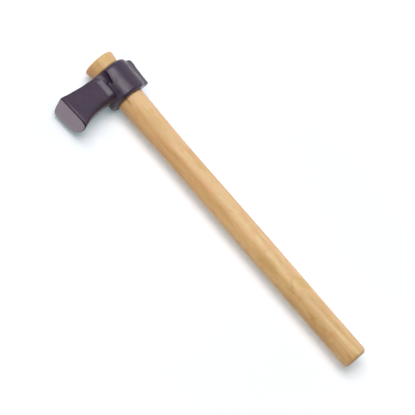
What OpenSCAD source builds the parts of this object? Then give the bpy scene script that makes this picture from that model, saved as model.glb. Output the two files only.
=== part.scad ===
// Farrier hammer: a forged steel head with one long striking block, a ring eye and a short poll,
// on a round wooden handle that slips in from the top of the tapered eye.
// The hammer lies on its side. X runs along the handle towards the grip, the striking face looks
// towards -Y, and +Z is up through the near cheek. The origin is under the middle of the hammer,
// on the surface that it lies on.

/* [Handle] */
// Length of the handle from the flared end to the grip end
handle_length = 397; // [340:1:460]
// Length of the flared end that stands proud of the eye
stub_proud = 13.4; // [8:0.2:18]
// Radius that the flared end gains over its proud length
stub_flare = 1.5; // [0.2:0.1:2]
// Radius of the rounded edge at the flared end
stub_round = 2; // [0.5:0.1:4]
// Diameter that the waist of the shaft lacks against the eye's lower mouth
waist_slack = 2.6; // [2:0.1:6]
// Distance from the middle of the eye to the waist of the shaft
waist_reach = 95; // [60:1:130]
// Diameter that the swell lacks against the eye's lower mouth, so that the head slides over it
swell_slack = 1.6; // [0.8:0.1:3]
// Distance from the grip end back to the swell
swell_back = 115; // [95:1:140]
// Diameter that the straight grip lacks against the eye's lower mouth
grip_slack = 2.3; // [1:0.1:5]
// Length of the straight grip, with its rounded edge
grip_length = 50; // [30:1:70]
// Radius of the rounded edge at the grip end
grip_round = 4; // [1:0.1:6]

/* [Ring and eye] */
// Outer diameter of the ring around the eye
ring_d = 43.6; // [41:0.2:50]
// Height of the ring along the handle
ring_height = 36; // [33:0.5:42]
// Radius of the ring's upper edge
ring_top_round = 4.5; // [1:0.2:6]
// Radius of the ring's lower edge
ring_bottom_round = 3; // [1:0.2:6]
// Diameter of the eye at its upper mouth
eye_top_d = 30.8; // [30:0.1:32]
// Diameter of the eye at its lower mouth
eye_bottom_d = 29.4; // [28:0.1:29.8]
// Radial room between the handle's tapered seat and the eye
seat_clearance = 0.1; // [0.05:0.01:0.3]

/* [Striking block] */
// Distance from the middle of the eye to the middle of the striking face
face_reach = 68.7; // [55:0.1:85]
// Amount by which the face comes back towards the eye for each millimetre down the handle
face_slant = 0.058; // [0:0.002:0.08]
// Thickness of the block between its cheeks, just behind the face
face_thickness = 31; // [28:0.2:36]
// Height of the block above the middle of the eye, just behind the face
face_rise = 19.8; // [18.2:0.1:23]
// Depth of the block below the middle of the eye, just behind the face
face_drop = 18.8; // [16:0.1:24]
// Radius of the face's upper corners
face_top_round = 2.4; // [1:0.1:5]
// Radius of the face's lower corner on the near cheek
face_near_round = 3.6; // [1:0.1:6]
// Radius of the face's lower corner on the far cheek, dressed well round
face_far_round = 19; // [6:0.5:22]
// Length of the dressed edge around the face
edge_length = 3; // [1:0.2:5]
// Depth of the dressed edge around the face
edge_depth = 1; // [0.4:0.1:1.5]

/* [Neck] */
// Distance from the middle of the eye to the slimmest part of the block
neck_reach = 33; // [28:0.5:40]
// Height of the neck above the middle of the eye
neck_rise = 17.4; // [15:0.1:17.8]
// Depth of the neck below the middle of the eye
neck_drop = 12.7; // [10:0.1:15]
// How late the block's underside swells on the way to the face, as a power of the way
drop_swell = 2.6; // [1:0.1:4]
// Thickness of the block at the neck
neck_thickness = 30.6; // [27:0.2:32]
// Radius of the neck's lower corner on the near cheek
neck_near_round = 6; // [3:0.5:9]
// Radius of the neck's lower corner on the far cheek
neck_far_round = 10; // [3:0.5:12]

/* [Shoulder] */
// Distance from the middle of the eye to the crest of the near cheek's shoulder
shoulder_reach = 21.2; // [21:0.2:25]
// Amount that the shoulder stands proud of the neck's near cheek
shoulder_proud = 1.9; // [0.2:0.1:2.4]
// Length of the near cheek's rise from the neck to the crest of the shoulder
shoulder_length = 5.4; // [3:0.2:7]
// Radius of the shoulder where it rolls down to the ring
shoulder_round = 5; // [4:0.2:8]

/* [Poll] */
// Amount that the flat of the poll stands proud of the ring at its upper end
poll_proud = 2.8; // [0.5:0.1:8]
// Amount by which the flat comes back towards the eye from its upper to its lower end
poll_slant = 1.6; // [0:0.1:4]
// Height of the poll above the middle of the eye
poll_rise = 13.4; // [8:0.2:15]
// Depth of the poll below the middle of the eye
poll_drop = 18.8; // [12:0.2:20]
// Width of the flat between its slopes
poll_flat = 20; // [10:0.5:24]
// Width of the poll's upper end where its slopes start
poll_top_width = 33; // [30:0.5:38]
// Width of the poll's lower end where its slopes start
poll_bottom_width = 34.8; // [30:0.1:38]
// Distance from the middle of the eye to where the slopes start at the poll's upper end
slope_top_reach = 17.4; // [14:0.2:20]
// Distance from the middle of the eye to where the slopes start at the poll's lower end
slope_bottom_reach = 13.6; // [12:0.2:18]
// Radius of the corners around the flat of the poll
poll_round = 3; // [1:0.5:4]

/* [Hidden] */
$fn = 96;

// Steps in each rounded corner of the block, and along each smooth stretch of an outline
corner_steps = 8;
outline_steps = 10;
// Stations from the neck to the face, and angles between stations on the shoulders
flare_stations = 12;
shoulder_steps = 5;
shoulder_turn = 80;
// Overrun that keeps a cut clear of the faces it passes through
overrun = 1;
// Angle around the eye at which the poll's sides start in the ring
poll_root_turn = 26;
// Share of the ring's radius at which the poll's sides start
poll_root_share = 0.985;

ring_r = ring_d / 2;
ring_half = ring_height / 2;
eye_top_r = eye_top_d / 2;
eye_bottom_r = eye_bottom_d / 2;
eye_slope = (eye_top_r - eye_bottom_r) / ring_height;

stub_end = -ring_half - stub_proud;
grip_end = stub_end + handle_length;
seat_top_r = eye_top_r - seat_clearance;
seat_bottom_r = eye_bottom_r - seat_clearance;
stub_r = seat_top_r + stub_flare;
waist_r = (eye_bottom_d - waist_slack) / 2;
swell_r = (eye_bottom_d - swell_slack) / 2;
grip_r = (eye_bottom_d - grip_slack) / 2;

face_half = face_thickness / 2;
neck_half = neck_thickness / 2;
poll_reach = ring_r + poll_proud;
poll_fall = poll_slant / (poll_rise + poll_drop);
poll_turn = atan(poll_fall);
// The face reaches furthest at its upper edge, and the poll at its upper round corner
face_furthest = face_reach + face_slant * (face_rise - edge_depth);
poll_furthest = poll_reach + poll_round * (1 - poll_fall - 1 / cos(poll_turn));
poll_side = poll_root_share * ring_r * cos(poll_root_turn);
poll_side_reach = poll_root_share * ring_r * sin(poll_root_turn);
root_reach = ring_r / 2;

// The middle of the eye in the part's own frame
eye_place = [
    -(stub_end + grip_end) / 2,
    (face_furthest - poll_furthest) / 2,
    ring_r
];

// A value that leaves a and reaches b without a kink, as t goes from 0 to 1
function ease(a, b, t) = a + (b - a) * t * t * (3 - 2 * t);
function between(a, b, t) = a + (b - a) * t;

// Points of an arc, from one angle to another
function arc(centre, radius, from, to, steps) = [
    for (i = [0 : steps])
        let (angle = between(from, to, i / steps))
            [centre[0] + radius * cos(angle), centre[1] + radius * sin(angle)]
];

// Points of a smooth stretch between two [distance, radius] stations, without the first
function stretch(a, b) = [
    for (i = [1 : outline_steps])
        [between(a[0], b[0], i / outline_steps), ease(a[1], b[1], i / outline_steps)]
];

// Outline of the block across its length, as [height, thickness] points from corner to corner
function section(rise, drop, half, near_proud, top_round, near_round, far_round) = let (
    near_half = half + near_proud
) concat(
    arc([drop - near_round, near_half - near_round], near_round, 0, 90, corner_steps),
    arc([top_round - rise, near_half - top_round], top_round, 90, 180, corner_steps),
    arc([top_round - rise, top_round - half], top_round, 180, 270, corner_steps),
    arc([drop - far_round, far_round - half], far_round, 270, 360, corner_steps)
);

// Section of the block at a given share of the way from the neck to the face
function flared(share, inset) = section(
    between(neck_rise, face_rise, share * share) - inset,
    between(neck_drop, face_drop, pow(share, drop_swell)) - inset,
    between(neck_half, face_half, share) - inset,
    0,
    face_top_round,
    between(neck_near_round, face_near_round, share),
    between(neck_far_round, face_far_round, share)
);

// Section of the neck, with a near cheek that stands proud by the given amount
function necked(proud) = section(
    neck_rise, neck_drop, neck_half, proud,
    face_top_round, neck_near_round, neck_far_round
);

// Closed skin over a list of loops of points, all with as many points
module skin(loops) {
    count = len(loops[0]);
    last = len(loops) - 1;
    sides = [
        for (i = [0 : last - 1])
            for (j = [0 : count - 1])
                let (a = i * count + j, b = i * count + (j + 1) % count)
                    each [[a, b + count, b], [a, a + count, b + count]]
    ];
    back = [[for (j = [0 : count - 1]) j]];
    front = [[for (j = [count - 1 : -1 : 0]) last * count + j]];
    polyhedron([for (loop = loops) each loop], concat(sides, back, front));
}

// Turns a shape made along Z so that it lies along the handle
module along_handle() {
    rotate([0, 90, 0])
        children();
}

module ring() {
    along_handle()
        rotate_extrude()
            polygon(concat(
                [[0, -ring_half], [0, ring_half]],
                arc([ring_r - ring_bottom_round, ring_half - ring_bottom_round],
                    ring_bottom_round, 90, 0, corner_steps),
                arc([ring_r - ring_top_round, ring_top_round - ring_half],
                    ring_top_round, 0, -90, corner_steps)
            ));
}

// Loop of an outline across the block, at a distance from the eye, and slanted as the face is
function across(reach, outline, slant = 0) = [for (p = outline) [p[0], slant * p[0] - reach, p[1]]];

module block() {
    root = [across(root_reach, necked(shoulder_proud - shoulder_round))];
    shoulders = [
        for (i = [shoulder_steps : -1 : 0])
            let (turn = shoulder_turn * i / shoulder_steps)
                across(
                    shoulder_reach - shoulder_round * sin(turn),
                    necked(shoulder_proud - shoulder_round * (1 - cos(turn)))
                )
    ];
    rise = [across(shoulder_reach + shoulder_length, necked(0))];
    flare = [
        for (i = [0 : flare_stations])
            let (share = i / flare_stations)
                across(
                    between(neck_reach, face_reach - edge_length, share),
                    flared(share, 0),
                    face_slant * share
                )
    ];
    edge = [across(face_reach, flared(1, edge_depth), face_slant)];
    skin(concat(root, shoulders, rise, flare, edge));
}

// Half of the poll's outline: from the ring's side over the slope's start to the middle of the flat
function poll_half(width, slope_reach, reach) =
    let (
        start = [width / 2, slope_reach],
        corner = [poll_flat / 2, reach],
        fall = atan2(corner[1] - start[1], start[0] - corner[0]),
        centre = corner - [poll_round * tan(fall / 2), poll_round]
    )
        concat(
            [[poll_side, 0], [poll_side, poll_side_reach], start],
            arc(centre, poll_round, 90 - fall, 90, corner_steps)
        );

// Loop around the whole poll, at a height along the handle
function poll_loop(height, half) = concat(
    [for (p = half) [height, p[1], p[0]]],
    [for (i = [len(half) - 1 : -1 : 0]) [height, half[i][1], -half[i][0]]]
);

// Outline of the poll from the side, with a slanted flat and round corners
module poll_side_view() {
    inner = poll_reach - poll_round / cos(poll_turn);
    upper = [poll_round - poll_rise, inner - poll_fall * poll_round];
    lower = [poll_drop - poll_round, inner - poll_slant + poll_fall * poll_round];
    polygon(concat(
        [[-poll_rise, 0]],
        arc(upper, poll_round, 180, 90 - poll_turn, corner_steps),
        arc(lower, poll_round, 90 - poll_turn, 0, corner_steps),
        [[poll_drop, 0]]
    ));
}

module poll() {
    intersection() {
        skin([
            poll_loop(
                poll_drop + overrun,
                poll_half(poll_bottom_width, slope_bottom_reach, poll_reach - poll_slant)
            ),
            poll_loop(
                -poll_rise - overrun,
                poll_half(poll_top_width, slope_top_reach, poll_reach)
            )
        ]);
        translate([0, 0, -ring_r])
            linear_extrude(ring_d)
                poll_side_view();
    }
}

module eye_bore() {
    along_handle()
        translate([0, 0, -ring_half - overrun])
            cylinder(
                h = ring_height + 2 * overrun,
                r1 = eye_top_r + eye_slope * overrun,
                r2 = eye_bottom_r - eye_slope * overrun
            );
}

module head() {
    color("#4b3e50")
        translate(eye_place)
            difference() {
                union() {
                    ring();
                    block();
                    poll();
                }
                eye_bore();
            }
}

module handle() {
    grip_start = grip_end - grip_length;
    shaft = concat(
        stretch([ring_half, seat_bottom_r], [waist_reach, waist_r]),
        stretch([waist_reach, waist_r], [grip_end - swell_back, swell_r]),
        stretch([grip_end - swell_back, swell_r], [grip_start, grip_r])
    );
    stub_edge = arc([stub_end + stub_round, stub_r - stub_round], stub_round, 180, 90, corner_steps);
    grip_edge = arc([grip_end - grip_round, grip_r - grip_round], grip_round, 90, 0, corner_steps);
    outline = concat(
        [[stub_end, 0]],
        stub_edge,
        [[-ring_half, seat_top_r], [ring_half, seat_bottom_r]],
        shaft,
        grip_edge,
        [[grip_end, 0]]
    );
    color("#d8b084")
        translate(eye_place)
            along_handle()
                rotate_extrude()
                    polygon([for (p = outline) [p[1], p[0]]]);
}

head();
handle();
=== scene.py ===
"""Farrier hammer lying on its side: a forged steel head with dark satin paint and a bare ground
striking face, on a turned hardwood handle that slips in from the top of a tapered ring eye.

Everything is in metres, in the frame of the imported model: X runs along the handle towards the grip
end, the striking face looks towards -Y, and Z is up through the cheek that faces up.
"""

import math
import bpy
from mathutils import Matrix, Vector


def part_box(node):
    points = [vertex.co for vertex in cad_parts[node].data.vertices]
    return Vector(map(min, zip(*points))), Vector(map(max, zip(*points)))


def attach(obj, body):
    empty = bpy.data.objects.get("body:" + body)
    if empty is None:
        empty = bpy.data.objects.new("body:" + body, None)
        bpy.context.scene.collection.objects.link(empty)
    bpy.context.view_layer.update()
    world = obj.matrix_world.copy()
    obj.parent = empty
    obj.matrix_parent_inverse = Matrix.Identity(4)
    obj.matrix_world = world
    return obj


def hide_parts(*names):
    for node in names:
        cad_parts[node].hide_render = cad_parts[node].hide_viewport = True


bl_info = {
    "name": "Farrier Hammer",
    "version": (1, 0, 0),
    "blender": (4, 5, 0),
    "location": "View3D > Sidebar > Hammer",
    "description": "A farrier hammer with a forged head and a wooden handle, on a studio floor",
    "category": "Add Mesh",
}

import bmesh
import bpy
from bpy.props import FloatProperty, FloatVectorProperty, PointerProperty
from bpy.types import Operator, Panel, PropertyGroup
from mathutils import Matrix, Vector, noise

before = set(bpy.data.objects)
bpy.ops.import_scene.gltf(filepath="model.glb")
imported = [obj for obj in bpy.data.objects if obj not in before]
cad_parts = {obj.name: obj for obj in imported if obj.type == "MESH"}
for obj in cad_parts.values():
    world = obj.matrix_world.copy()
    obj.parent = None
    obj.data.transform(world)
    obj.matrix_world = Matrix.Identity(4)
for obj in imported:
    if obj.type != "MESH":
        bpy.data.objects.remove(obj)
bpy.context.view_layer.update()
HEAD_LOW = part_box("head")[0]
HANDLE_LOW, HANDLE_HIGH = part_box("handle")

MM = 0.001
ALL_AXES = {"use_axis_x": True, "use_axis_y": True, "use_axis_z": True}

# Points closer than this are merged
MERGE = 0.001 * MM


# Sizes and colours


def length_prop(name, description, default):
    return FloatProperty(
        name=name, description=description, default=default, min=0.0,
        unit="LENGTH", subtype="DISTANCE", precision=4,
    )


def share_prop(name, description, default):
    return FloatProperty(name=name, description=description, default=default, min=0.0, max=1.0)


def colour_prop(name, description, default):
    return FloatVectorProperty(
        name=name, description=description, default=default, size=3,
        min=0.0, max=1.0, subtype="COLOR",
    )


class HammerSizes(PropertyGroup):
    """Sizes of the visible pieces"""

    ring_diameter: length_prop("Ring diameter", "Outside of the ring around the eye", 0.0436)
    ring_height: length_prop("Ring height", "Height of the ring along the handle", 0.036)
    ring_top_round: length_prop("Ring top round", "Radius of the ring's upper edge", 0.0042)
    ring_bottom_round: length_prop("Ring bottom round", "Radius of the ring's lower edge", 0.0026)
    eye_top: length_prop("Eye top", "Diameter of the eye at its upper mouth", 0.0308)
    eye_bottom: length_prop("Eye bottom", "Diameter of the eye at its lower mouth", 0.0294)
    eye_chamfer: length_prop("Eye chamfer", "Chamfer at both mouths of the eye", 0.0005)
    face_reach: length_prop("Face reach", "From the eye's middle to the striking face", 0.06869)
    face_slant: share_prop("Face slant", "How the face comes back, per length down the handle", 0.058)
    face_rise: length_prop("Face rise", "Block above the eye's middle, behind the face", 0.0198)
    face_drop: length_prop("Face drop", "Block below the eye's middle, behind the face", 0.0186)
    face_thickness: length_prop("Face thickness", "Block between its cheeks at the face", 0.031)
    face_edge: length_prop("Face edge", "Length of the dressed edge around the face", 0.0024)
    face_edge_depth: length_prop("Face edge depth", "Depth of the dressed edge", 0.0010)
    neck_reach: length_prop("Neck reach", "From the eye's middle to the slimmest part", 0.033)
    neck_rise: length_prop("Neck rise", "Neck above the eye's middle", 0.0174)
    neck_drop: length_prop("Neck drop", "Neck below the eye's middle", 0.0127)
    neck_thickness: length_prop("Neck thickness", "Neck between its cheeks", 0.0306)
    shoulder_reach: length_prop("Shoulder reach", "From the eye's middle to the crest", 0.0204)
    shoulder_proud: length_prop("Shoulder proud", "Crest above the neck's cheeks", 0.0019)
    shoulder_round: length_prop("Shoulder round", "Radius of the shoulders", 0.0032)
    shoulder_length: length_prop("Shoulder length", "Rise from the neck to the crest", 0.0054)
    poll_rise: length_prop("Poll rise", "Poll above the eye's middle", 0.0134)
    poll_drop: length_prop("Poll drop", "Poll below the eye's middle", 0.0188)
    forging: length_prop("Forging", "Height of the hammered unevenness of the steel", 0.00021)
    handle_length: length_prop("Handle length", "From the flared end to the grip end", 0.397)
    stub_proud: length_prop("Stub", "Length of the flared end above the eye", 0.0134)
    stub_flare: length_prop("Flare", "Radius gained by the flared end", 0.0015)
    waist: length_prop("Waist", "Diameter of the handle's waist", 0.0268)
    swell: length_prop("Swell", "Diameter of the handle's swell", 0.0278)
    grip: length_prop("Grip", "Diameter of the straight grip", 0.0272)


class HammerColours(PropertyGroup):
    """Colours of the finishes"""

    paint: colour_prop("Paint", "Dark satin paint of the head", (0.037, 0.0150, 0.041))
    paint_warm: colour_prop("Paint, warm", "Paint where it is thin", (0.042, 0.0165, 0.039))
    # Near-black paint used as painted shade in the hollows, in a line beside the ground face and under
    # the neck
    paint_shaded: colour_prop("Paint, thick", "Paint that has run together", (0.006, 0.002, 0.008))
    # Lighter paint for real scuffing on broken edges, and for painted highlights and a painted reflection
    # at a few places
    paint_wear_and_sheen: colour_prop("Paint, worn", "Scuffed paint", (0.13, 0.085, 0.125))
    steel: colour_prop("Steel", "Bare ground steel", (0.278, 0.219, 0.250))
    steel_dull: colour_prop("Steel, dull", "Steel towards the far cheek", (0.28, 0.262, 0.268))
    wood: colour_prop("Wood", "Pale wood between the grain", (0.88, 0.59, 0.295))
    wood_dark: colour_prop("Wood, dark", "Grain lines of the wood", (0.69, 0.412, 0.168))
    wood_grip: colour_prop("Wood, grip", "Pale wood towards the grip end", (0.935, 0.675, 0.338))
    wood_warm: colour_prop("Wood, warm", "Warm patches of the wood", (0.865, 0.488, 0.237))
    wood_yellow: colour_prop("Wood, yellow", "Yellow patches of the wood", (0.735, 0.49, 0.172))
    wood_fleck: colour_prop("Wood, fleck", "Small dark flecks in the grain", (0.34, 0.17, 0.06))
    wood_shake: colour_prop("Wood, shake", "Short split below the eye", (0.27, 0.11, 0.035))
    # Dark brown used as painted shade in lines at the eye's mouths, and for a darker line at the grip end
    wood_dark_line: colour_prop("Wood, rubbed", "Lines at the eye and the grip end", (0.13, 0.055, 0.03))
    floor: colour_prop("Floor", "Studio floor", (0.98, 0.95, 0.965))


# Shapes


def arc(centre, radii, start, end, steps):
    """Points of an arc from one angle to another, in degrees, with a radius along each axis."""
    points = []
    for i in range(steps + 1):
        angle = math.radians(start + (end - start) * i / steps)
        points.append((centre[0] + radii[0] * math.cos(angle), centre[1] + radii[1] * math.sin(angle)))
    return points


def between(a, b, share):
    """The value at a share of the way from a to b."""
    return a + (b - a) * share


def mixed(a, b, share):
    """The same for each pair of values in two lists."""
    return tuple(between(p, q, share) for p, q in zip(a, b))


def ease(a, b, share):
    """The same with a soft start and end."""
    return between(a, b, share * share * (3 - 2 * share))


def clamped(value):
    """The value, kept from 0 to 1."""
    return min(1.0, max(0.0, value))


def hill(distance, width):
    """1 at no distance, falling smoothly to 0 at the width."""
    share = max(0.0, 1 - (distance / width) ** 2)
    return share * share


def add_loop(bm, points):
    """A closed loop of edges through the points."""
    verts = [bm.verts.new(p) for p in points]
    return [bm.edges.new((verts[i], verts[(i + 1) % len(verts)])) for i in range(len(verts))]


def bridge(bm, loops):
    """Skin over the loops, capped at both ends."""
    for first, second in zip(loops, loops[1:]):
        bmesh.ops.bridge_loops(bm, edges=first + second)
    for loop in (loops[0], loops[-1]):
        bmesh.ops.contextual_create(bm, geom=loop)


def bevel(bm, edges, offset, segments):
    """Rounds the edges off."""
    bmesh.ops.bevel(
        bm, geom=edges, offset=offset, offset_type="OFFSET", segments=segments,
        profile=0.5, affect="EDGES", clamp_overlap=True, material=-1,
    )


def turned(outline, steps):
    """A closed shape turned about the X axis from an outline of (place along it, radius)."""
    bm = bmesh.new()
    verts = [bm.verts.new((x, radius, 0)) for x, radius in outline]
    edges = [bm.edges.new(pair) for pair in zip(verts, verts[1:])]
    bmesh.ops.spin(
        bm, geom=verts + edges, cent=(0, 0, 0), axis=(1, 0, 0),
        angle=2 * math.pi, steps=steps, use_merge=True, use_duplicate=False,
    )
    bmesh.ops.remove_doubles(bm, verts=bm.verts, dist=MERGE)
    bmesh.ops.recalc_face_normals(bm, faces=bm.faces)
    return bm


def soften(bm, sharp_angle):
    """Smooth shading, except across edges that are really sharp."""
    for f in bm.faces:
        f.smooth = True
    for e in bm.edges:
        if len(e.link_faces) == 2:
            e.smooth = e.calc_face_angle(0.0) < sharp_angle


def as_object(name, bm):
    """The mesh as an object at the origin."""
    mesh = bpy.data.meshes.new(name)
    bm.to_mesh(mesh)
    bm.free()
    made = bpy.data.objects.new(name, mesh)
    bpy.context.scene.collection.objects.link(made)
    return made


def finished_object(name, bm, material, body):
    """The mesh as a visible piece that moves with its body."""
    piece = as_object(name, bm)
    piece.data.materials.append(material)
    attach(piece, body)
    return piece


def with_modifiers(obj):
    """The mesh that the object's modifiers make."""
    bpy.context.view_layer.update()
    graph = bpy.context.evaluated_depsgraph_get()
    mesh = bpy.data.meshes.new_from_object(obj.evaluated_get(graph))
    bm = bmesh.new()
    bm.from_mesh(mesh)
    bpy.data.meshes.remove(mesh)
    return bm


def remove_object(obj):
    """Removes a helper object and its mesh."""
    mesh = obj.data
    bpy.data.objects.remove(obj)
    bpy.data.meshes.remove(mesh)


def eye_middle(sizes):
    """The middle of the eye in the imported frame. Shapes are built around it and moved there."""
    return Vector((
        HEAD_LOW.x + sizes.face_rise,
        (HANDLE_LOW.y + HANDLE_HIGH.y) / 2,
        (HANDLE_LOW.z + HANDLE_HIGH.z) / 2,
    ))


# Head: the rough forging is made of overlapping closed shapes, fused by a remesh and smoothed

RING_SEGMENTS = 144
RING_TOP_STEPS = 6
RING_BOTTOM_STEPS = 5
CORNER_STEPS = 8
FLARE_STEPS = 10
SHOULDER_STEPS = 6
SHOULDER_TURN = math.radians(80)
EDGE_STEPS = 4
EDGE_TURN = math.radians(75)
ROLL_STEPS = 5
EYE_STEPS = 128
VOXEL = 0.55 * MM
SMOOTHING = 9
HEAD_SHARP = math.radians(32)
FEWEST_FACES = 1000

# The block's corners: lower near, upper near, upper far and lower far, each a pair of radii in
# millimetres, along the height and along the thickness
NECK_CORNERS = ((6.2, 8.6), (2.4, 2.4), (2.4, 2.4), (10.5, 20.5))
FACE_CORNERS = ((7.0, 5.0), (2.4, 2.4), (3.2, 20.0), (17.5, 18.5))
# How late the block swells above and below on the way to the face, as powers of the way
RISE_SWELL = 2
DROP_SWELL = 2.4
# Where the block starts inside the ring, and half its thickness there
BLOCK_ROOT = 12 * MM
ROOT_HALF = 10 * MM
# The block runs on past the face, where it is cut later
PAST_FACE = 2 * MM

# Half of the poll's outline in millimetres, as (height, reach), at shares of the way from its lower
# end. It leaves the ring, curves out to the lip, and turns over the lip's corner.
POLL_ROOT = ((18.9, 0.0), (18.9, 10.6))
POLL_OUTLINES = (
    (0.0, ((17.7, 12.3), (14.9, 15.3), (13.2, 17.4), (11.8, 19.4), (10.9, 21.4), (10.2, 23.2))),
    (0.62, ((17.7, 12.5), (14.9, 15.6), (13.2, 17.8), (11.8, 19.9), (10.9, 21.9), (10.3, 23.9))),
    (0.75, ((17.9, 12.6), (15.5, 15.4), (13.8, 17.9), (12.5, 20.1), (11.5, 22.4), (11.0, 24.5))),
    (1.0, ((17.9, 12.8), (15.5, 15.6), (13.8, 18.1), (12.5, 20.3), (11.7, 22.5), (11.4, 24.5))),
)
POLL_STATIONS = (12, 6, 0, -3, -6)
# The rolled ends in millimetres, along the handle and inwards, and the share of the latter in height
LOWER_ROLL = (1.2, 1.2)
UPPER_ROLL = (4.4, 3.3)
ROLL_IN_HEIGHT = 0.4

# The web's outline as (reach, height), and its stations as (place along the handle, how much lower)
WEB_OUTLINE = ((22.2, 15.0), (18.6, 17.4), (15.4, 17.4), (15.4, 8.0), (22.2, 8.0))
WEB_STATIONS = ((-16.6, 0.6), (-9.5, 0.0), (-5.5, 0.9))


def add_ring(bm, sizes):
    """Ring around the eye, rounded at both ends."""
    radius = sizes.ring_diameter / 2
    bmesh.ops.create_cone(
        bm, cap_ends=True, cap_tris=False, segments=RING_SEGMENTS,
        radius1=radius, radius2=radius, depth=sizes.ring_height,
        matrix=Matrix.Rotation(math.pi / 2, 4, "Y"),
    )
    top, bottom = (
        [e for e in bm.edges if all(v.co.x * side > 0 for v in e.verts)] for side in (-1, 1)
    )
    bevel(bm, top, sizes.ring_top_round, RING_TOP_STEPS)
    bevel(bm, [e for e in bottom if e.is_valid], sizes.ring_bottom_round, RING_BOTTOM_STEPS)


def section(rise, drop, half, far_half, corners):
    """Outline across the block, with its four corners in the order of the tables above."""
    near, top, far_top, far = corners
    return (
        arc((drop - near[0], half - near[1]), near, 0, 90, CORNER_STEPS)
        + arc((top[0] - rise, half - top[1]), top, 90, 180, CORNER_STEPS)
        + arc((far_top[0] - rise, far_top[1] - far_half), far_top, 180, 270, CORNER_STEPS)
        + arc((drop - far[0], far[1] - far_half), far, 270, 360, CORNER_STEPS)
    )


def add_block(bm, sizes):
    """Striking block: from its root in the ring over the shoulder and the neck, out past the face."""
    neck_corners, face_corners = (
        [mixed((0, 0), pair, MM) for pair in corners] for corners in (NECK_CORNERS, FACE_CORNERS)
    )
    neck_half, face_half = sizes.neck_thickness / 2, sizes.face_thickness / 2
    stations = []

    def station(reach, outline, slant=0.0):
        stations.append(add_loop(bm, [(x, slant * x - reach, z) for x, z in outline]))

    def necked(proud):
        half, far_half = neck_half + proud, neck_half + min(0.0, proud)
        return section(sizes.neck_rise, sizes.neck_drop, half, far_half, neck_corners)

    def flared(share, inset):
        half = between(neck_half, face_half, share) - inset
        return section(
            between(sizes.neck_rise, sizes.face_rise, share ** RISE_SWELL) - inset,
            between(sizes.neck_drop, sizes.face_drop, share ** DROP_SWELL) - inset,
            half, half,
            [mixed(a, b, share) for a, b in zip(neck_corners, face_corners)],
        )

    station(BLOCK_ROOT, necked(ROOT_HALF - neck_half))
    station(sizes.shoulder_reach - sizes.shoulder_round, necked(ROOT_HALF - neck_half))
    for i in range(SHOULDER_STEPS, -1, -1):
        turn = SHOULDER_TURN * i / SHOULDER_STEPS
        station(
            sizes.shoulder_reach - sizes.shoulder_round * math.sin(turn),
            necked(sizes.shoulder_proud - sizes.shoulder_round * (1 - math.cos(turn))),
        )
    station(sizes.shoulder_reach + sizes.shoulder_length, necked(0))
    end = sizes.face_reach - sizes.face_edge
    for i in range(FLARE_STEPS + 1):
        share = i / FLARE_STEPS
        station(between(sizes.neck_reach, end, share), flared(share, 0), sizes.face_slant * share)
    for i in range(1, EDGE_STEPS + 1):
        turn = EDGE_TURN * i / EDGE_STEPS
        station(
            end + sizes.face_edge * math.sin(turn) / math.sin(EDGE_TURN),
            flared(1, sizes.face_edge_depth * (1 - math.cos(turn)) / (1 - math.cos(EDGE_TURN))),
            sizes.face_slant,
        )
    station(sizes.face_reach + PAST_FACE, flared(1, sizes.face_edge_depth + PAST_FACE), sizes.face_slant)
    bridge(bm, stations)


def poll_half(share):
    """Half of the poll's outline at a share of the way from its lower end."""
    for low, high in zip(POLL_OUTLINES, POLL_OUTLINES[1:]):
        if share <= high[0]:
            part = (share - low[0]) / (high[0] - low[0])
            break
    return POLL_ROOT + tuple(mixed(a, b, part) for a, b in zip(low[1], high[1]))


def add_poll(bm, sizes):
    """Poll with a slanted flat, a lip hammered out around it, and rolled ends."""
    heights = [(x * MM, 0.0) for x in POLL_STATIONS]
    for end, way, (along, inward) in (
        (sizes.poll_drop, -1, LOWER_ROLL), (-sizes.poll_rise, 1, UPPER_ROLL),
    ):
        for i in range(ROLL_STEPS + 1):
            turn = math.radians(90 * i / ROLL_STEPS)
            heights.append((end + way * along * MM * (1 - math.sin(turn)), inward * (1 - math.cos(turn))))
    stations = []
    for height, inset in sorted(heights, reverse=True):
        share = (sizes.poll_drop - height) / (sizes.poll_drop + sizes.poll_rise)
        outline = poll_half(clamped(share))
        half = outline[:2] + tuple((z - ROLL_IN_HEIGHT * inset, y - inset) for z, y in outline[2:])
        stations.append(
            [(height, y * MM, z * MM) for z, y in half]
            + [(height, y * MM, -z * MM) for z, y in reversed(half)]
        )
    bridge(bm, [add_loop(bm, points) for points in stations])


def add_web(bm):
    """Metal squeezed up beside the eye, which carries the shoulder on to the ring's upper half."""
    for side in (1, -1):
        ends = [
            [(x * MM, -reach * MM, side * (height - lower) * MM) for reach, height in WEB_OUTLINE]
            for x, lower in WEB_STATIONS
        ]
        bridge(bm, [add_loop(bm, corners) for corners in ends])


def fused(bm):
    """One skin around everything in the mesh."""
    bmesh.ops.recalc_face_normals(bm, faces=bm.faces)
    rough = as_object("rough", bm)
    remesh = rough.modifiers.new("remesh", "REMESH")
    remesh.mode = "VOXEL"
    remesh.voxel_size = VOXEL
    skin = with_modifiers(rough)
    remove_object(rough)
    return skin


# The head's lower end is drawn in on the poll's side: where that starts across the handle and over
# what length, the least that stays, what stays in the middle, and how that grows towards the near cheek
TRIM_FROM = 6 * MM
TRIM_RUN = 7 * MM
TRIM_LEAST = 14.5 * MM
TRIM_MIDDLE = 17.3 * MM
TRIM_SLOPE = 0.3


def trim_far_corner(bm, sizes):
    """Draws in the head's lower end on the poll's side, more and more towards the far cheek."""
    full = sizes.poll_drop
    for v in bm.verts:
        if v.co.x > 0:
            aside = clamped((v.co.y - TRIM_FROM) / TRIM_RUN)
            limit = min(full, max(TRIM_LEAST, TRIM_MIDDLE + TRIM_SLOPE * v.co.z))
            v.co.x *= between(1.0, limit / full, aside)


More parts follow.
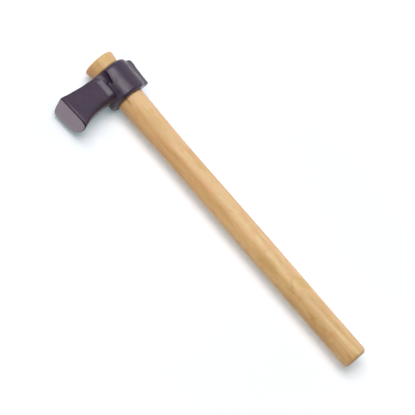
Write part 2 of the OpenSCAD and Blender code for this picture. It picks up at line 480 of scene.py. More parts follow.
# Where the near shoulder fades, in millimetres: its place along the handle, over what length, and
# from which reach. It is held under a slope that rises from the cheek, going back from the crest's
# reach to the ring. Points that lie deeper than this below the cheek stay as they are.
FADE_FROM = -10.0
FADE_RUN = 4.5
FADE_REACH = 18.0
CREST_REACH = 22.4
CREST_SLOPE = 0.5
CHEEK_DEPTH = 0.5


def fade_shoulder(bm, sizes):
    """Lets the shoulder on the near cheek run out towards the block's upper side."""
    cheek = sizes.neck_thickness / 2
    for v in bm.verts:
        reach = -v.co.y / MM
        if v.co.z < cheek - CHEEK_DEPTH * MM or reach < FADE_REACH:
            continue
        share = clamped((FADE_FROM - v.co.x / MM) / FADE_RUN)
        limit = cheek + CREST_SLOPE * MM * max(0.0, CREST_REACH - reach)
        v.co.z = between(v.co.z, min(v.co.z, limit), share)


# The fuller's slot in the ring beside the shoulder, in millimetres: its middle along the handle, half
# its length and the fade at its ends; its way around the ring and its half width, each with what
# changes towards its lower end; and where that change starts and over what length
SLOT_MIDDLE = -9.2
SLOT_HALF = 5.6
SLOT_FADE = 3.0
SLOT_AROUND = 13.7
SLOT_DRIFT = 1.7
SLOT_WIDTH = 3.3
SLOT_TAPER = 1.3
SLOT_TOP = -16.0
SLOT_RUN = 13.0
SLOT_DEPTH = 2.2
# The ridge at the slot's end: its place along the handle at a place around the ring, how that leans,
# its width, its middle and half length around the ring, and its height
RIDGE_ALONG = -5.0
RIDGE_FROM = 5.1
RIDGE_LEAN = 0.233
RIDGE_WIDTH = 1.9
RIDGE_AROUND = 12.4
RIDGE_HALF = 4.6
RIDGE_HEIGHT = 0.2
# How far above and below the ring's surface the marks reach
MARKS_ABOVE = 2.6 * MM
MARKS_BELOW = 4 * MM


def ring_place(co):
    """A point of the ring's near side as (along the handle, around from the top), in millimetres."""
    return co.x / MM, math.hypot(co.y, co.z) / MM * math.atan2(-co.y, co.z)


def slot_mask(x, around):
    """A fuller's slot beside the shoulder, narrower towards its lower end."""
    share = clamped((x - SLOT_TOP) / SLOT_RUN)
    beyond = max(0.0, abs(x - SLOT_MIDDLE) - SLOT_HALF)
    across = hill(around - SLOT_AROUND - SLOT_DRIFT * share, SLOT_WIDTH - SLOT_TAPER * share)
    return across * hill(beyond, SLOT_FADE)


def ring_marks(co, radius):
    """How far the smith's marks move a point of the ring outwards, in metres."""
    rho = math.hypot(co.y, co.z)
    if co.z < 0 or rho > radius + MARKS_ABOVE or rho < radius - MARKS_BELOW:
        return 0.0
    x, around = ring_place(co)
    ridge = RIDGE_ALONG + RIDGE_LEAN * (around - RIDGE_FROM)
    raised = RIDGE_HEIGHT * hill(x - ridge, RIDGE_WIDTH) * hill(around - RIDGE_AROUND, RIDGE_HALF)
    return (raised - SLOT_DEPTH * slot_mask(x, around)) * MM


# Wide and close dents in the steel: how many to the metre, where the close ones start, their share
# of the height, and how far all of it lies below the plain shape, as a share of the height
WIDE_DENTS = 105.0
CLOSE_DENTS = 210.0
CLOSE_START = Vector((3.1, 7.7, 1.9))
CLOSE_SHARE = 0.6
SUNK_SHARE = 0.8


def roughen(bm, sizes):
    """Soft hammered unevenness in two sizes of dent, and the smith's marks on the ring."""
    bm.normal_update()
    moves = []
    for v in bm.verts:
        wide = noise.noise(v.co * WIDE_DENTS)
        close = noise.noise(v.co * CLOSE_DENTS + CLOSE_START)
        outward = Vector((0.0, v.co.y, v.co.z)).normalized()
        moves.append(
            v.normal * sizes.forging * (wide + CLOSE_SHARE * close - SUNK_SHARE)
            + outward * ring_marks(v.co, sizes.ring_diameter / 2)
        )
    for v, move in zip(bm.verts, moves):
        v.co += move


GROUND_EDGE = 0.3 * MM
CUT_SLACK = 0.02 * MM


def cut_face(bm, sizes):
    """Grinds the block's end flat, with a narrow ground edge around it."""
    normal = Vector((sizes.face_slant, -1, 0)).normalized()
    geom = list(bm.verts) + list(bm.edges) + list(bm.faces)
    cut = bmesh.ops.bisect_plane(
        bm, geom=geom, dist=CUT_SLACK,
        plane_co=normal * (sizes.face_reach * -normal.y - GROUND_EDGE), plane_no=normal,
        clear_outer=True,
    )["geom_cut"]
    rim = [g for g in cut if isinstance(g, bmesh.types.BMEdge)]
    bmesh.ops.contextual_create(bm, geom=rim)
    cap = max(bm.faces, key=lambda f: f.calc_area())
    bmesh.ops.inset_region(
        bm, faces=[cap], thickness=GROUND_EDGE, depth=GROUND_EDGE, use_even_offset=False,
    )


# How far the tool that cuts the eye stands out of it at both ends
EYE_PAST = 1.0 * MM


def cut_eye(bm, sizes):
    """Cuts the tapered eye, with a small chamfer at both mouths."""
    half = sizes.ring_height / 2
    top, bottom = sizes.eye_top / 2, sizes.eye_bottom / 2
    chamfer = sizes.eye_chamfer
    outline = [
        (-half - EYE_PAST, 0), (-half - EYE_PAST, top + chamfer + EYE_PAST),
        (-half + chamfer, top), (half - chamfer, bottom),
        (half + EYE_PAST, bottom + chamfer + EYE_PAST), (half + EYE_PAST, 0),
    ]
    blank = as_object("blank", bm)
    cutter = as_object("cutter", turned(outline, EYE_STEPS))
    cut = blank.modifiers.new("eye", "BOOLEAN")
    cut.operation = "DIFFERENCE"
    cut.solver = "EXACT"
    cut.object = cutter
    pierced = with_modifiers(blank)
    remove_object(blank)
    remove_object(cutter)
    return pierced


# How often the bend of the skin is averaged, the shortest step between points that counts, and the
# bend at which a hollow starts and what is added to it for a full one
BEND_ROUNDS = 6
SHORTEST_STEP = 0.05 * MM
HOLLOW_START = 0.02
HOLLOW_RUN = 0.14


def mark_edges(bm):
    """Writes how convex and how hollow the skin is into the attributes that the paint reads."""
    bm.normal_update()
    bm.verts.ensure_lookup_table()
    edge = bm.verts.layers.float.new("edge")
    hollow = bm.verts.layers.float.new("hollow")
    bends = []
    for v in bm.verts:
        total = Vector()
        length = 0.0
        for e in v.link_edges:
            step = e.other_vert(v).co - v.co
            total += step
            length += step.length
        count = max(1, len(v.link_edges))
        mean = max(length / count, SHORTEST_STEP)
        bends.append(-total.dot(v.normal) / count / mean ** 2 * MM)
    for _ in range(BEND_ROUNDS):
        bends = [
            (bends[v.index] + sum(bends[e.other_vert(v).index] for e in v.link_edges))
            / (1 + len(v.link_edges))
            for v in bm.verts
        ]
    for v in bm.verts:
        v[edge] = bends[v.index]
        bend = clamped((-bends[v.index] - HOLLOW_START) / HOLLOW_RUN) if v.co.y < 0 else 0.0
        v[hollow] = max(bend, slot_mask(*ring_place(v.co)) if v.co.z > 0 else 0.0)


class HAMMER_OT_head(Operator):
    """Forge the head: ring, striking block and poll in one piece"""

    bl_idname = "hammer.head"
    bl_label = "Forge the head"
    bl_options = {"REGISTER", "UNDO"}

    def execute(self, context):
        sizes = context.scene.hammer_sizes
        bm = bmesh.new()
        add_ring(bm, sizes)
        add_block(bm, sizes)
        add_poll(bm, sizes)
        add_web(bm)
        bm = fused(bm)
        fade_shoulder(bm, sizes)
        trim_far_corner(bm, sizes)
        for _ in range(SMOOTHING):
            bmesh.ops.smooth_vert(bm, verts=bm.verts, factor=0.5, **ALL_AXES)
        roughen(bm, sizes)
        cut_face(bm, sizes)
        bm = cut_eye(bm, sizes)
        if len(bm.faces) < FEWEST_FACES:
            raise RuntimeError("the head came out empty")
        mark_edges(bm)
        soften(bm, HEAD_SHARP)
        bmesh.ops.translate(bm, verts=bm.verts, vec=eye_middle(sizes))
        material = forged_paint(context.scene.hammer_colours, sizes)
        head = finished_object("forged_head", bm, material, "head")
        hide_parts("head")
        return {"FINISHED"}


# Handle

# Places along the handle: the waist below the eye's middle, the swell and the grip's start above
# the grip end
WAIST_PLACE = 0.095
SWELL_PLACE = 0.115
GRIP_START = 0.050
SEAT_ROOM = 0.1 * MM
STUB_ROUND = 2.0 * MM
GRIP_ROUND = 4.0 * MM
ROUND_STEPS = 6
STUB_STEPS = 4
SWEEP_STEPS = 22
GRIP_STEPS = 12
HANDLE_STEPS = 96
HANDLE_SHARP = math.radians(40)


def handle_outline(sizes):
    """Points of the handle's side, as (distance from the eye's middle, radius)."""
    half = sizes.ring_height / 2
    start = -half - sizes.stub_proud
    end = start + sizes.handle_length
    seat_top = sizes.eye_top / 2 - SEAT_ROOM
    stub = seat_top + sizes.stub_flare
    grip = sizes.grip / 2
    points = [(start, 0.0), (start, stub / 2)]
    points += arc((start + STUB_ROUND, stub - STUB_ROUND), (STUB_ROUND, STUB_ROUND), 180, 90, ROUND_STEPS)
    for i in range(1, STUB_STEPS):
        share = i / STUB_STEPS
        points.append((between(start + STUB_ROUND, -half, share), between(stub, seat_top, share)))
    points.append((-half, seat_top))
    sweeps = [
        (half, sizes.eye_bottom / 2 - SEAT_ROOM),
        (WAIST_PLACE, sizes.waist / 2),
        (end - SWELL_PLACE, sizes.swell / 2),
        (end - GRIP_START, grip),
    ]
    points.append(sweeps[0])
    for (x1, r1), (x2, r2) in zip(sweeps, sweeps[1:]):
        for i in range(1, SWEEP_STEPS + 1):
            share = i / SWEEP_STEPS
            points.append((between(x1, x2, share), ease(r1, r2, share)))
    for i in range(1, GRIP_STEPS):
        points.append((between(end - GRIP_START, end - GRIP_ROUND, i / GRIP_STEPS), grip))
    points += arc((end - GRIP_ROUND, grip - GRIP_ROUND), (GRIP_ROUND, GRIP_ROUND), 90, 0, ROUND_STEPS)
    points += [(end, grip / 2), (end, 0.0)]
    return points


class HAMMER_OT_handle(Operator):
    """Turn the wooden handle"""

    bl_idname = "hammer.handle"
    bl_label = "Turn the handle"
    bl_options = {"REGISTER", "UNDO"}

    def execute(self, context):
        sizes = context.scene.hammer_sizes
        bm = turned(handle_outline(sizes), HANDLE_STEPS)
        soften(bm, HANDLE_SHARP)
        bmesh.ops.translate(bm, verts=bm.verts, vec=eye_middle(sizes))
        material = turned_wood(context.scene.hammer_colours, sizes)
        handle = finished_object("wooden_handle", bm, material, "handle")
        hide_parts("handle")
        return {"FINISHED"}


# Materials


def new_material(name):
    """A material with its node tree and its shader."""
    material = bpy.data.materials.new(name)
    material.use_nodes = True
    tree = material.node_tree
    return material, tree, tree.nodes["Principled BSDF"]


def feed(tree, fed, inputs):
    """Links a node's inputs to sockets, or fills them with values."""
    for key, value in inputs.items():
        if isinstance(value, bpy.types.NodeSocket):
            tree.links.new(value, fed.inputs[key])
        else:
            fed.inputs[key].default_value = value


def node(tree, kind, inputs=None, **settings):
    """A node with its settings and its inputs."""
    made = tree.nodes.new(kind)
    for key, value in settings.items():
        setattr(made, key, value)
    feed(tree, made, inputs or {})
    return made


def math_node(tree, operation, a, b=0.0):
    """The sum, product or such of two values."""
    return node(tree, "ShaderNodeMath", {0: a, 1: b}, operation=operation).outputs[0]


def product(tree, first, *rest):
    """All values multiplied."""
    for value in rest:
        first = math_node(tree, "MULTIPLY", first, value)
    return first


def largest(tree, first, *rest):
    """The largest of the values."""
    for value in rest:
        first = math_node(tree, "MAXIMUM", first, value)
    return first


def blended(tree, a, b, share):
    """The share of value a, and the rest of value b."""
    return math_node(tree, "ADD", product(tree, a, share), product(tree, b, 1 - share))


def mix_value(tree, factor, a, b):
    """From value a to value b."""
    return node(tree, "ShaderNodeMix", {0: factor, 2: a, 3: b}, data_type="FLOAT").outputs[0]


def mix_colour(tree, factor, a, b, blend="MIX"):
    """Colour b laid over colour a. Each is a socket or three plain values."""
    under, over = (c if isinstance(c, bpy.types.NodeSocket) else (*c, 1) for c in (a, b))
    mixer = node(
        tree, "ShaderNodeMix", {0: factor, 6: under, 7: over}, data_type="RGBA", blend_type=blend,
    )
    return mixer.outputs[2]


def ramp(tree, value, low, high):
    """Value from 0 at low to 1 at high, smooth at both ends."""
    made = node(
        tree, "ShaderNodeMapRange",
        {"Value": value, "From Min": low, "From Max": high, "To Min": 0.0, "To Max": 1.0},
        interpolation_type="SMOOTHSTEP", clamp=True,
    )
    return made.outputs["Result"]


def spread(tree, value, low, high):
    """Value from 0 to 1 spread evenly from low to high."""
    return node(tree, "ShaderNodeMapRange", {"Value": value, "To Min": low, "To Max": high}).outputs[0]


def place_mask(tree, ways, bounds):
    """Mask for a place on the piece. Each bound names a way, and the two places along it, in
    millimetres from the way's start, between which the mask comes in."""
    parts = [
        ramp(tree, ways[way][0], ways[way][1] + low * MM, ways[way][1] + high * MM)
        for way, low, high in bounds
    ]
    return product(tree, *parts)


def attribute(tree, name):
    """A value that is written into the mesh."""
    return node(
        tree, "ShaderNodeAttribute", attribute_name=name, attribute_type="GEOMETRY",
    ).outputs["Fac"]


def object_coordinates(tree):
    return node(tree, "ShaderNodeTexCoord").outputs["Object"]


def ways_from_eye(tree, place, eye):
    """The coordinates along the three axes, each with the place of the eye's middle."""
    axes = node(tree, "ShaderNodeSeparateXYZ", {0: place}).outputs
    return {"x": (axes["X"], eye.x), "y": (axes["Y"], eye.y), "z": (axes["Z"], eye.z)}


def new_group(name, inputs, output):
    """A shader node group with one output, the sockets of what it is given, and its end node."""
    group = bpy.data.node_groups.new(name, "ShaderNodeTree")
    for key, value in inputs.items():
        kind = "NodeSocketVector" if isinstance(value, tuple) else "NodeSocketFloat"
        socket = group.interface.new_socket(name=key, in_out="INPUT", socket_type=kind)
        socket.default_value = value
    group.interface.new_socket(name=output, in_out="OUTPUT", socket_type="NodeSocketFloat")
    return group, group.nodes.new("NodeGroupInput").outputs, group.nodes.new("NodeGroupOutput")


def grouped(tree, name, build, **values):
    """A node group's output for its own values. The group itself is built only once."""
    group = bpy.data.node_groups.get(name) or build(name)
    return node(tree, "ShaderNodeGroup", values, node_tree=group).outputs[0]


def streaks_group(name):
    """Noise drawn out along the axes, as a value."""
    group, given, out = new_group(
        name,
        {"Vector": (0, 0, 0), "Stretch": (1, 1, 1), "Size": 100.0, "Detail": 3.0,
         "Roughness": 0.5, "Distortion": 0.0},
        "Value",
    )
    drawn = node(
        group, "ShaderNodeVectorMath", {0: given["Vector"], 1: given["Stretch"]},
        operation="MULTIPLY",
    )
    texture = node(
        group, "ShaderNodeTexNoise",
        {"Vector": drawn.outputs[0], "Scale": given["Size"], "Detail": given["Detail"],
         "Roughness": given["Roughness"], "Distortion": given["Distortion"]},
    )
    feed(group, out, {"Value": texture.outputs["Fac"]})
    return group


def streaks(tree, place, stretch, size, detail, roughness, distortion=0.0):
    """Streaks at their own stretch, size and strength."""
    return grouped(
        tree, "streaks", streaks_group, Vector=place, Stretch=stretch, Size=size, Detail=detail,
        Roughness=roughness, Distortion=distortion,
    )


def patches_group(name):
    """Cloudy patches of several sizes, as a mask."""
    group, given, out = new_group(
        name, {"Vector": (0, 0, 0), "Size": 60.0, "Low": 0.4, "High": 0.6}, "Mask",
    )
    texture = node(
        group, "ShaderNodeTexNoise",
        {"Vector": given["Vector"], "Scale": given["Size"], "Detail": 4.0, "Roughness": 0.55},
    )
    mask = ramp(group, texture.outputs["Fac"], given["Low"], given["High"])
    feed(group, out, {"Mask": mask})
    return group


def patches(tree, place, size, low, high):
    """Patches of their own size and edge."""
    return grouped(tree, "patches", patches_group, Vector=place, Size=size, Low=low, High=high)


# Places in the paint: "face" is counted from the striking face, the rest from the eye's middle
BARE_FACE = (("face", 0.42, 0.34),)
POLL_LIP = (("y", 9, 14),)
FAR_EDGE = (("z", -7, -13),)
FAR_EDGE_STRENGTH = 0.8
# Painted shade: the paint darkened in the hollows, in a line beside the ground face, and under the
# block's neck
HOLLOW_STRENGTH = 0.75
RIM = (("face", 1.9, 1.3), ("z", 0, 8))
RIM_STRENGTH = 0.8
UNDER_NECK = (("x", 2, 8), ("y", -8, -14), ("y", -62, -36))
UNDER_NECK_STRENGTH = 0.4
# Lighter paint: real scuffing on broken edges, and at places with their strengths: a painted reflection
# of the floor on the ring's lower corner beside the block, a painted highlight in a thin line behind the
# line beside the face, and a painted highlight on the poll's end
EDGE_WEAR = 0.45
PAINTED_HIGHLIGHTS = (
    ((("x", 10, 14), ("y", -12, -17), ("face", 36, 42)), 0.4),
    ((("face", 2.0, 2.5), ("face", 3.6, 3.0), ("x", -17, -8), ("z", 6, 10)), 0.6),
    ((("y", 16.5, 19.5), ("z", 0, 5)), 0.5),
)

# Streaks: stretch along the axes, size, detail, roughness, and distortion if there is any
BROKEN_EDGE = ((1, 1, 1), 420.0, 5.0, 0.6)
GRIND = ((1, 1, 26), 60.0, 6.0, 0.7)
GRIT = ((1, 1, 1), 900.0, 3.0, 0.6)
LUMPS = ((1, 1, 1), 230.0, 2.0, 0.5)
# Patches: size, and the noise at which they start and are full
THIN_PAINT = (70.0, 0.38, 0.66)
DULL_PAINT = (190.0, 0.3, 0.7)
# From and to which value a mask comes in
BENT_EDGE = (0.10, 0.32)
EDGE_BREAKS = (0.42, 0.62)
GRIND_LINES = (0.3, 0.7)

PAINT_SPECULAR = 0.46
PAINT_ROUGHNESS = (0.34, 0.42)
LIP_ROUGHNESS = 0.14
# Roughness where shade is painted, in the hollows and in the line beside the face
SHADED_ROUGHNESS = 0.8
STEEL_ROUGHNESS = 0.46
GRIND_SHADE = 0.86
LUMPS_SHARE = 0.8
GRIND_RELIEF = 0.35
HEAD_RELIEF = {"Strength": 0.18, "Distance": 0.35 * MM}


def forged_paint(colours, sizes):
    """Dark satin paint over forged steel, scuffed on its edges, with painted shade in the hollows, beside
    the ground face and under the neck, painted highlights and a painted reflection in a few places, and
    the striking face ground bare.
    """
    material, tree, shader = new_material("forged_paint")
    place = object_coordinates(tree)
    eye = eye_middle(sizes)
    ways = ways_from_eye(tree, place, eye)
    slanted = product(tree, ways["x"][0], -sizes.face_slant)
    ways["face"] = (
        math_node(tree, "ADD", ways["y"][0], slanted),
        eye.y - sizes.face_reach - sizes.face_slant * eye.x,
    )
    bare = place_mask(tree, ways, BARE_FACE)
    rim = place_mask(tree, ways, RIM)
    hollow = attribute(tree, "hollow")
    grind = streaks(tree, place, *GRIND)

    thin = patches(tree, place, *THIN_PAINT)
    paint = mix_colour(tree, thin, colours.paint, colours.paint_warm)
    # Painted shade: darker paint in the hollows, in a line beside the ground face, and under the neck
    painted_shade = largest(
        tree,
        product(tree, hollow, HOLLOW_STRENGTH),
        product(tree, rim, RIM_STRENGTH),
        product(tree, place_mask(tree, ways, UNDER_NECK), UNDER_NECK_STRENGTH),
    )
    paint = mix_colour(tree, painted_shade, paint, colours.paint_shaded)
    bent = ramp(tree, attribute(tree, "edge"), *BENT_EDGE)
    broken = ramp(tree, streaks(tree, place, *BROKEN_EDGE), *EDGE_BREAKS)
    # Real scuffing on broken edges, and painted highlights and a painted reflection at the listed places
    wear_and_highlights = largest(
        tree,
        product(tree, bent, broken, EDGE_WEAR),
        *(product(tree, place_mask(tree, ways, bounds), highlight_strength) for bounds, highlight_strength in PAINTED_HIGHLIGHTS),
    )
    paint = mix_colour(tree, wear_and_highlights, paint, colours.paint_wear_and_sheen)
    shaded = [GRIND_SHADE * c for c in colours.steel]
    steel = mix_colour(tree, ramp(tree, grind, *GRIND_LINES), shaded, colours.steel)
    far_edge = product(tree, place_mask(tree, ways, FAR_EDGE), FAR_EDGE_STRENGTH)
    steel = mix_colour(tree, far_edge, steel, colours.steel_dull)

    rough = spread(tree, patches(tree, place, *DULL_PAINT), *PAINT_ROUGHNESS)
    rough = mix_value(tree, place_mask(tree, ways, POLL_LIP), rough, LIP_ROUGHNESS)
    rough = mix_value(tree, largest(tree, hollow, rim), rough, SHADED_ROUGHNESS)
    rough = mix_value(tree, bare, rough, STEEL_ROUGHNESS)

    lumps, grit = streaks(tree, place, *LUMPS), streaks(tree, place, *GRIT)
    height = blended(tree, lumps, grit, LUMPS_SHARE)
    relief = mix_value(tree, bare, height, product(tree, grind, GRIND_RELIEF))
    bump = node(tree, "ShaderNodeBump", {"Height": relief, **HEAD_RELIEF})
    feed(tree, shader, {
        "Base Color": mix_colour(tree, bare, paint, steel), "Metallic": bare, "Roughness": rough,
        "Specular IOR Level": PAINT_SPECULAR, "Normal": bump.outputs["Normal"],
    })
    return material


# Streaks and patches of the wood, listed like those of the paint
BROAD_GRAIN = ((0.09, 1.0, 1.0), 95.0, 5.0, 0.6, 0.9)
FINE_GRAIN = ((0.03, 1.0, 1.0), 640.0, 5.0, 0.65, 0.2)
FLECKS = ((0.10, 1.0, 1.0), 800.0, 2.0, 0.5)
YELLOW_STREAKS = ((0.45, 1.0, 1.0), 71.0, 3.0, 0.5, 0.5)
WARM_PATCHES = (95.0, 0.50, 0.64)
BROAD_SHARE = 0.7
DARK_GRAIN = (0.40, 0.68)
WARM_STRENGTH = 0.55
YELLOW_RANGE = (0.54, 0.62)
YELLOW_STRENGTH = 0.6
FLECK_RANGE = (0.62, 0.72)
FLECK_STRENGTH = 0.35

# Places in the wood: "end" is counted from the grip end, the rest from the eye's middle
TO_GRIP = (("x", 90, 260),)
# Painted shade on the flank that faces the front and down, redder, and deeper towards the held end;
# painted light along the crown
FLANK = (("y", 1, -9),)
HELD_END = (("x", 180, 310),)
CROWN = (("y", 0, 6),)
FLANK_SHADE = (0.94, 0.84, 0.72)
HELD_END_SHADE = (0.84, 0.79, 0.74)
CROWN_LIGHT = (1.13, 1.05, 1.1)
# The shake: its place across the handle, how far it wanders, how far from its middle it fades out
# and is full, and where it starts and ends
SHAKE_PLACE = -10.2 * MM
SHAKE_WANDER = 6 * MM
SHAKE_WIDTH = (1.5 * MM, 0.3 * MM)
SHAKE_LENGTH = (("x", 30, 22), ("x", 14, 18), ("z", 0, 2))
SHAKE_STRENGTH = 0.6
# Dark lines, from where they fade out to where they are full: painted shade at the eye's mouths where the
# ring meets the wood, and a darker line at the grip end
MOUTH_LINE = (2.0 * MM, 0.8 * MM)
MOUTH_STRENGTH = 0.7
END_LINE = (("end", -1.6, -0.6),)
END_STRENGTH = 0.35

WOOD_ROUGHNESS = (0.40, 0.56)
GRAIN_RELIEF = {"Strength": 0.12, "Distance": 0.2 * MM}


def turned_wood(colours, sizes):
    """Pale oiled hardwood: lengthwise grain, warm and yellow patches, a few dark flecks, painted shade on
    the redder lower flank and painted light along the crown, painted shade in lines at the eye's mouths,
    and a darker line at the grip end."""
    material, tree, shader = new_material("turned_wood")
    place = object_coordinates(tree)
    eye = eye_middle(sizes)
    ways = ways_from_eye(tree, place, eye)
    ways["end"] = (ways["x"][0], HANDLE_HIGH.x)
    broad, fine = streaks(tree, place, *BROAD_GRAIN), streaks(tree, place, *FINE_GRAIN)

    wood = mix_colour(tree, place_mask(tree, ways, TO_GRIP), colours.wood, colours.wood_grip)
    tone = blended(tree, broad, fine, BROAD_SHARE)
    wood = mix_colour(tree, ramp(tree, tone, *DARK_GRAIN), wood, colours.wood_dark)
    warm = product(tree, patches(tree, place, *WARM_PATCHES), WARM_STRENGTH)
    wood = mix_colour(tree, warm, wood, colours.wood_warm)
    yellow = ramp(tree, streaks(tree, place, *YELLOW_STREAKS), *YELLOW_RANGE)
    wood = mix_colour(tree, product(tree, yellow, YELLOW_STRENGTH), wood, colours.wood_yellow)
    # Painted shade on the lower flank, deeper towards the held end, and painted light along the crown
    flank = place_mask(tree, ways, FLANK)
    held = product(tree, flank, place_mask(tree, ways, HELD_END))
    for mask, tint in (
        (flank, FLANK_SHADE), (held, HELD_END_SHADE), (place_mask(tree, ways, CROWN), CROWN_LIGHT),
    ):
        wood = mix_colour(tree, mask, wood, tint, "MULTIPLY")
    fleck = ramp(tree, streaks(tree, place, *FLECKS), *FLECK_RANGE)
    wood = mix_colour(tree, product(tree, fleck, FLECK_STRENGTH), wood, colours.wood_fleck)

    # Shake below the eye
    wander = product(tree, math_node(tree, "SUBTRACT", broad, 0.5), SHAKE_WANDER)
    wandering = math_node(tree, "ADD", ways["y"][0], wander)
    off = math_node(tree, "SUBTRACT", wandering, eye.y + SHAKE_PLACE)
    across = ramp(tree, math_node(tree, "ABSOLUTE", off), *SHAKE_WIDTH)
    shake = product(tree, across, place_mask(tree, ways, SHAKE_LENGTH), SHAKE_STRENGTH)
    wood = mix_colour(tree, shake, wood, colours.wood_shake)

    # Painted shade in lines at the eye's mouths, and a darker line at the grip end
    along = math_node(tree, "ABSOLUTE", math_node(tree, "SUBTRACT", ways["x"][0], eye.x))
    mouth = ramp(tree, along, *(sizes.ring_height / 2 + place for place in MOUTH_LINE))
    dark_lines = largest(
        tree,
        product(tree, mouth, MOUTH_STRENGTH),
        product(tree, place_mask(tree, ways, END_LINE), END_STRENGTH),
    )
    wood = mix_colour(tree, dark_lines, wood, colours.wood_dark_line)
    bump = node(tree, "ShaderNodeBump", {"Height": fine, **GRAIN_RELIEF})
    feed(tree, shader, {
        "Base Color": wood, "Roughness": spread(tree, fine, *WOOD_ROUGHNESS),
        "Normal": bump.outputs["Normal"],
    })
    return material


# Stage

FLOOR_SIDE = 8.0
FLOOR_ROUGHNESS = 0.9
FLOOR_SPECULAR = 0.1
# The floor's lift near the hammer, what is added far away, and from and to which distance
FLOOR_LIFT = 0.235
FAR_LIFT = 0.75
FAR_DISTANCES = (0.35, 2.5)
# The lift's colour near the hammer, and from and to which distance it turns white
SHADOW_TINT = (0.68, 0.93, 1.02)
SHADOW_DISTANCES = (0.15, 0.35)
WHITE = (1, 1, 1)

# The fill light from all around, as a share of what reflections see, and its colour
WORLD_FILL = 0.22
FILL_TINT = (0.84, 0.93, 1)
# What is left of both towards the front, the way to the front, and how far along it that comes in
FRONT_LEFT = 0.25
FRONT_WAY = (1.0, -0.8, -0.35)
FRONT_RANGE = (-0.1, 0.8)

# Each light's direction from the hammer, distance and side in metres, and power in watts
KEY_LIGHT = ((-0.19, -0.16, 0.97), 3.0, 1.95, 69.0)
BACK_LIGHT = ((0.1, 0.84, 0.54), 2.2, 2.0, 4.5)

# The photograph's frame: its side in pixels, and the pixel that shows the middle of the eye
PHOTO_SIDE = 415
EYE_PIXEL = (117.92, 84.94)
# The way from the hammer to the camera, how far the handle slopes down in the picture, and the
# distance from the camera to the eye's middle
TO_CAMERA = Vector((0.095, -0.51, 0.855)).normalized()
HANDLE_SLOPE = math.radians(49.1)
EYE_DISTANCE = 2.0976
LENS = 180.0
SENSOR = 36.0
CLIP = (0.05, 50.0)


def seen_by(tree, *kinds):
    """1 for rays of the named kinds and 0 for the rest."""
    rays = node(tree, "ShaderNodeLightPath").outputs
    return largest(tree, *(rays[f"Is {kind} Ray"] for kind in kinds))


def studio_floor(colours):
    """Matt white floor that the camera and reflections see a little brighter, so it reads as white.
    The light falls off away from the hammer, and the lift grows to make up for it."""
    material, tree, shader = new_material("studio_floor")
    feed(tree, shader, {
        "Base Color": (*colours.floor, 1), "Roughness": FLOOR_ROUGHNESS,
        "Specular IOR Level": FLOOR_SPECULAR,
    })
    away = node(
        tree, "ShaderNodeVectorMath", {0: object_coordinates(tree)}, operation="LENGTH",
    ).outputs["Value"]
    added = product(tree, ramp(tree, away, *FAR_DISTANCES), FAR_LIFT)
    strength = math_node(tree, "ADD", added, FLOOR_LIFT)
    seen = seen_by(tree, "Camera", "Glossy", "Transmission")
    lift = node(
        tree, "ShaderNodeEmission",
        {"Color": mix_colour(tree, ramp(tree, away, *SHADOW_DISTANCES), SHADOW_TINT, WHITE),
         "Strength": product(tree, seen, strength)},
    )
    both = node(tree, "ShaderNodeAddShader", {0: shader.outputs[0], 1: lift.outputs[0]})
    feed(tree, tree.nodes["Material Output"], {"Surface": both.outputs[0]})
    return material


def studio_world():
    """White surroundings: plain white where seen, dimmer as a fill light and towards the front."""
    world = bpy.data.worlds.new("studio")
    world.use_nodes = True
    tree = world.node_tree
    way = node(tree, "ShaderNodeTexCoord").outputs["Generated"]
    ahead = node(
        tree, "ShaderNodeVectorMath", {0: way, 1: FRONT_WAY}, operation="DOT_PRODUCT",
    ).outputs["Value"]
    front = mix_value(tree, ramp(tree, ahead, *FRONT_RANGE), 1.0, FRONT_LEFT)
    around = product(tree, front, spread(tree, seen_by(tree, "Glossy"), WORLD_FILL, 1.0))
    seen = seen_by(tree, "Camera", "Transmission")
    feed(tree, tree.nodes["Background"], {
        "Color": mix_colour(tree, seen, FILL_TINT, WHITE),
        "Strength": mix_value(tree, seen, around, 1.0),
    })
    bpy.context.scene.world = world


def add_light(name, direction, distance, size, power):
    """Square soft light that looks at the middle of the hammer."""
    data = bpy.data.lights.new(name, "AREA")
    data.shape = "SQUARE"
    data.size = size
    data.energy = power
    light = bpy.data.objects.new(name, data)
    way = Vector(direction).normalized()
    light.location = way * distance
    light.rotation_mode = "QUATERNION"
    light.rotation_quaternion = way.to_track_quat("Z", "Y")
    bpy.context.scene.collection.objects.link(light)


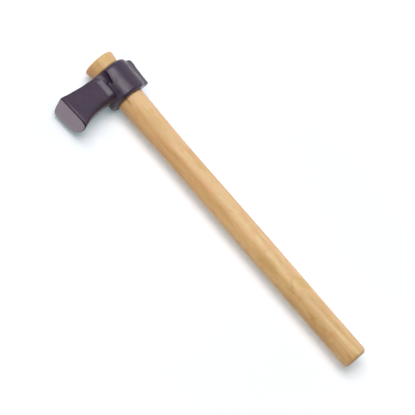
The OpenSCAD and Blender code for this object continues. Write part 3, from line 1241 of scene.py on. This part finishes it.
def add_camera(sizes):
    """Camera that shows the eye at its pixel, with the handle at its slope."""
    along = (Vector((1, 0, 0)) - TO_CAMERA * TO_CAMERA.x).normalized()
    across = TO_CAMERA.cross(along)
    right = along * math.cos(HANDLE_SLOPE) + across * math.sin(HANDLE_SLOPE)
    up = across * math.cos(HANDLE_SLOPE) - along * math.sin(HANDLE_SLOPE)
    per_pixel = EYE_DISTANCE * SENSOR / LENS / PHOTO_SIDE
    middle = PHOTO_SIDE / 2
    place = (
        eye_middle(sizes) + TO_CAMERA * EYE_DISTANCE
        - right * (EYE_PIXEL[0] - middle) * per_pixel
        - up * (middle - EYE_PIXEL[1]) * per_pixel
    )
    data = bpy.data.cameras.new("camera")
    data.lens = LENS
    data.sensor_width = SENSOR
    data.clip_start, data.clip_end = CLIP
    camera = bpy.data.objects.new("camera", data)
    turn = Matrix((right, up, TO_CAMERA)).transposed().to_4x4()
    camera.matrix_world = Matrix.Translation(place) @ turn
    bpy.context.scene.collection.objects.link(camera)
    bpy.context.scene.camera = camera


class HAMMER_OT_stage(Operator):
    """Set up the floor, the studio light and the camera"""

    bl_idname = "hammer.stage"
    bl_label = "Set the stage"
    bl_options = {"REGISTER", "UNDO"}

    def execute(self, context):
        bm = bmesh.new()
        bmesh.ops.create_grid(bm, x_segments=1, y_segments=1, size=FLOOR_SIDE / 2)
        floor = as_object("floor", bm)
        floor.data.materials.append(studio_floor(context.scene.hammer_colours))
        studio_world()
        add_light("key", *KEY_LIGHT)
        add_light("back", *BACK_LIGHT)
        add_camera(context.scene.hammer_sizes)
        context.scene.view_settings.view_transform = "Standard"
        return {"FINISHED"}


class HAMMER_PT_panel(Panel):
    """Lists the hammer's pieces and sizes"""

    bl_idname = "HAMMER_PT_panel"
    bl_label = "Farrier Hammer"
    bl_space_type = "VIEW_3D"
    bl_region_type = "UI"
    bl_category = "Hammer"

    def draw(self, context):
        layout = self.layout
        for operator in (HAMMER_OT_head, HAMMER_OT_handle, HAMMER_OT_stage):
            layout.operator(operator.bl_idname)
        for group in (context.scene.hammer_sizes, context.scene.hammer_colours):
            column = layout.column(align=True)
            for name in group.__annotations__:
                column.prop(group, name)


CLASSES = (
    HammerSizes, HammerColours, HAMMER_OT_head, HAMMER_OT_handle, HAMMER_OT_stage, HAMMER_PT_panel,
)


def register():
    for cls in CLASSES:
        bpy.utils.register_class(cls)
    bpy.types.Scene.hammer_sizes = PointerProperty(type=HammerSizes)
    bpy.types.Scene.hammer_colours = PointerProperty(type=HammerColours)


def unregister():
    del bpy.types.Scene.hammer_colours
    del bpy.types.Scene.hammer_sizes
    for cls in reversed(CLASSES):
        bpy.utils.unregister_class(cls)


def main():
    register()
    bpy.ops.hammer.head()
    bpy.ops.hammer.handle()
    bpy.ops.hammer.stage()


if __name__ == "__main__":
    main()
